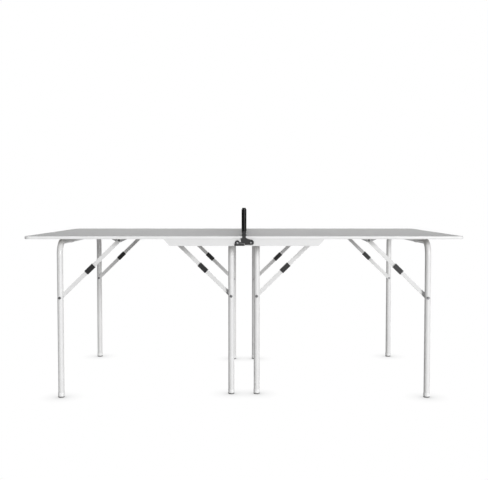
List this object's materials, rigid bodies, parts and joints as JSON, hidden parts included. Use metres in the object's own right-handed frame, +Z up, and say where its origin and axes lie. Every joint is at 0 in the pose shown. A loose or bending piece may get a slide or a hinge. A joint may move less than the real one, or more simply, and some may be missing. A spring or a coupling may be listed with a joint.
{
  "type": "ping pong table",
  "caption": "Compact folding table tennis table: two half tables on bent-tube leg frames with locking braces, joined by a hooked net.",
  "frame": {"origin": "on the floor, below the middle of the table top", "axes": "+X along the table from half to half, +Y from the near long side to the far one, +Z up"},
  "size_m": [2.015, 1.1704, 0.8845],
  "materials": {
    "board_foil": "fine satin melamine foil",
    "edge_band": "extruded satin band",
    "white_steel": "satin powder coat",
    "leg_steel": "satin powder coat",
    "zinc_steel": "zinc plated",
    "foot_plastic": "moulded",
    "sleeve_plastic": "moulded, fine texture",
    "clamp_plastic": "moulded, fine texture",
    "post_plastic": "moulded, satin",
    "net_cord": "knotless netting",
    "tape_cloth": "woven tape"
  },
  "bodies": {
    "left_half": {"left_playing_board": "board_foil", "left_edge_band": "edge_band", "left_side_aprons": "white_steel", "left_tube_saddles": "leg_steel", "left_brace_brackets": "zinc_steel", "left_bracket_rivets": "zinc_steel", "left_wood_screws": "zinc_steel", "left_net_pins": "zinc_steel", "net_catches": "clamp_plastic"},
    "right_half": {"right_playing_board": "board_foil", "right_edge_band": "edge_band", "right_side_aprons": "white_steel", "right_tube_saddles": "leg_steel", "right_brace_brackets": "zinc_steel", "right_bracket_rivets": "zinc_steel", "right_wood_screws": "zinc_steel", "right_net_pins": "zinc_steel"},
    "net": {"net_clamps": "clamp_plastic", "net_collars": "clamp_plastic", "net_posts": "post_plastic", "net_mesh": "net_cord", "net_tape": "tape_cloth"},
    "left_outer_legs": {"left_outer_leg_frame": "leg_steel", "left_outer_foot_caps": "foot_plastic", "left_outer_leg_rivets": "zinc_steel"},
    "left_outer_upper_links": {"left_outer_upper_links": "white_steel", "left_outer_knee_rivets": "zinc_steel"},
    "left_outer_lower_links": {"left_outer_lower_links": "white_steel", "left_outer_link_rivets": "zinc_steel"},
    "left_outer_near_sleeve": {"left_outer_near_sleeve": "sleeve_plastic"},
    "left_outer_far_sleeve": {"left_outer_far_sleeve": "sleeve_plastic"},
    "left_inner_legs": {"left_inner_leg_frame": "leg_steel", "left_inner_foot_caps": "foot_plastic", "left_inner_leg_rivets": "zinc_steel"},
    "left_inner_upper_links": {"left_inner_upper_links": "white_steel", "left_inner_knee_rivets": "zinc_steel"},
    "left_inner_lower_links": {"left_inner_lower_links": "white_steel", "left_inner_link_rivets": "zinc_steel"},
    "left_inner_near_sleeve": {"left_inner_near_sleeve": "sleeve_plastic"},
    "left_inner_far_sleeve": {"left_inner_far_sleeve": "sleeve_plastic"},
    "right_outer_legs": {"right_outer_leg_frame": "leg_steel", "right_outer_foot_caps": "foot_plastic", "right_outer_leg_rivets": "zinc_steel"},
    "right_outer_upper_links": {"right_outer_upper_links": "white_steel", "right_outer_knee_rivets": "zinc_steel"},
    "right_outer_lower_links": {"right_outer_lower_links": "white_steel", "right_outer_link_rivets": "zinc_steel"},
    "right_outer_near_sleeve": {"right_outer_near_sleeve": "sleeve_plastic"},
    "right_outer_far_sleeve": {"right_outer_far_sleeve": "sleeve_plastic"},
    "right_inner_legs": {"right_inner_leg_frame": "leg_steel", "right_inner_foot_caps": "foot_plastic", "right_inner_leg_rivets": "zinc_steel"},
    "right_inner_upper_links": {"right_inner_upper_links": "white_steel", "right_inner_knee_rivets": "zinc_steel"},
    "right_inner_lower_links": {"right_inner_lower_links": "white_steel", "right_inner_link_rivets": "zinc_steel"},
    "right_inner_near_sleeve": {"right_inner_near_sleeve": "sleeve_plastic"},
    "right_inner_far_sleeve": {"right_inner_far_sleeve": "sleeve_plastic"}
  },
  "joints": [
    {"name": "right_half_lift", "type": "slide", "parent": "left_half", "child": "right_half", "axis": [0, 0, 1], "range_m": [0, 0.12]},
    {"name": "net_swing", "type": "hinge", "parent": "right_half", "child": "net", "pos_m": [0.031, 0, 0.7315], "axis": [0, 1, 0], "range_deg": [0, 88]},
    {"name": "left_outer_leg_fold", "type": "hinge", "parent": "left_half", "child": "left_outer_legs", "pos_m": [-0.858, 0, 0.7325], "axis": [0, -1, 0], "range_deg": [0, 89]},
    {"name": "left_outer_upper_link_turn", "type": "hinge", "parent": "left_half", "child": "left_outer_upper_links", "pos_m": [-0.585, 0, 0.737], "axis": [0, 1, 0], "range_deg": [0, 42.37]},
    {"name": "left_outer_knee_turn", "type": "hinge", "parent": "left_outer_upper_links", "child": "left_outer_lower_links", "pos_m": [-0.72531, 0, 0.59978], "axis": [0, -1, 0], "range_deg": [0, 177.32]},
    {"name": "left_outer_near_sleeve_slide", "type": "slide", "parent": "left_outer_upper_links", "child": "left_outer_near_sleeve", "axis": [0.7149, 0, 0.6992], "range_m": [0, 0.06]},
    {"name": "left_outer_far_sleeve_slide", "type": "slide", "parent": "left_outer_upper_links", "child": "left_outer_far_sleeve", "axis": [0.7149, 0, 0.6992], "range_m": [0, 0.06]},
    {"name": "left_inner_leg_fold", "type": "hinge", "parent": "left_half", "child": "left_inner_legs", "pos_m": [-0.0607, 0, 0.7325], "axis": [0, 1, 0], "range_deg": [0, 89]},
    {"name": "left_inner_upper_link_turn", "type": "hinge", "parent": "left_half", "child": "left_inner_upper_links", "pos_m": [-0.3337, 0, 0.737], "axis": [0, -1, 0], "range_deg": [0, 42.37]},
    {"name": "left_inner_knee_turn", "type": "hinge", "parent": "left_inner_upper_links", "child": "left_inner_lower_links", "pos_m": [-0.19339, 0, 0.59978], "axis": [0, 1, 0], "range_deg": [0, 177.32]},
    {"name": "left_inner_near_sleeve_slide", "type": "slide", "parent": "left_inner_upper_links", "child": "left_inner_near_sleeve", "axis": [-0.7149, 0, 0.6992], "range_m": [0, 0.06]},
    {"name": "left_inner_far_sleeve_slide", "type": "slide", "parent": "left_inner_upper_links", "child": "left_inner_far_sleeve", "axis": [-0.7149, 0, 0.6992], "range_m": [0, 0.06]},
    {"name": "right_outer_leg_fold", "type": "hinge", "parent": "right_half", "child": "right_outer_legs", "pos_m": [0.858, 0, 0.7325], "axis": [0, 1, 0], "range_deg": [0, 89]},
    {"name": "right_outer_upper_link_turn", "type": "hinge", "parent": "right_half", "child": "right_outer_upper_links", "pos_m": [0.585, 0, 0.737], "axis": [0, -1, 0], "range_deg": [0, 42.37]},
    {"name": "right_outer_knee_turn", "type": "hinge", "parent": "right_outer_upper_links", "child": "right_outer_lower_links", "pos_m": [0.72531, 0, 0.59978], "axis": [0, 1, 0], "range_deg": [0, 177.32]},
    {"name": "right_outer_near_sleeve_slide", "type": "slide", "parent": "right_outer_upper_links", "child": "right_outer_near_sleeve", "axis": [-0.7149, 0, 0.6992], "range_m": [0, 0.06]},
    {"name": "right_outer_far_sleeve_slide", "type": "slide", "parent": "right_outer_upper_links", "child": "right_outer_far_sleeve", "axis": [-0.7149, 0, 0.6992], "range_m": [0, 0.06]},
    {"name": "right_inner_leg_fold", "type": "hinge", "parent": "right_half", "child": "right_inner_legs", "pos_m": [0.0607, 0, 0.7325], "axis": [0, -1, 0], "range_deg": [0, 89]},
    {"name": "right_inner_upper_link_turn", "type": "hinge", "parent": "right_half", "child": "right_inner_upper_links", "pos_m": [0.3337, 0, 0.737], "axis": [0, 1, 0], "range_deg": [0, 42.37]},
    {"name": "right_inner_knee_turn", "type": "hinge", "parent": "right_inner_upper_links", "child": "right_inner_lower_links", "pos_m": [0.19339, 0, 0.59978], "axis": [0, -1, 0], "range_deg": [0, 177.32]},
    {"name": "right_inner_near_sleeve_slide", "type": "slide", "parent": "right_inner_upper_links", "child": "right_inner_near_sleeve", "axis": [0.7149, 0, 0.6992], "range_m": [0, 0.06]},
    {"name": "right_inner_far_sleeve_slide", "type": "slide", "parent": "right_inner_upper_links", "child": "right_inner_far_sleeve", "axis": [0.7149, 0, 0.6992], "range_m": [0, 0.06]}
  ],
  "couplings": [
    {"joint": "left_outer_upper_link_turn", "follows": "left_outer_leg_fold", "ratio": 0.47599},
    {"joint": "left_outer_knee_turn", "follows": "left_outer_leg_fold", "ratio": 1.9923},
    {"joint": "left_inner_upper_link_turn", "follows": "left_inner_leg_fold", "ratio": 0.47599},
    {"joint": "left_inner_knee_turn", "follows": "left_inner_leg_fold", "ratio": 1.9923},
    {"joint": "right_outer_upper_link_turn", "follows": "right_outer_leg_fold", "ratio": 0.47599},
    {"joint": "right_outer_knee_turn", "follows": "right_outer_leg_fold", "ratio": 1.9923},
    {"joint": "right_inner_upper_link_turn", "follows": "right_inner_leg_fold", "ratio": 0.47599},
    {"joint": "right_inner_knee_turn", "follows": "right_inner_leg_fold", "ratio": 1.9923}
  ]
}
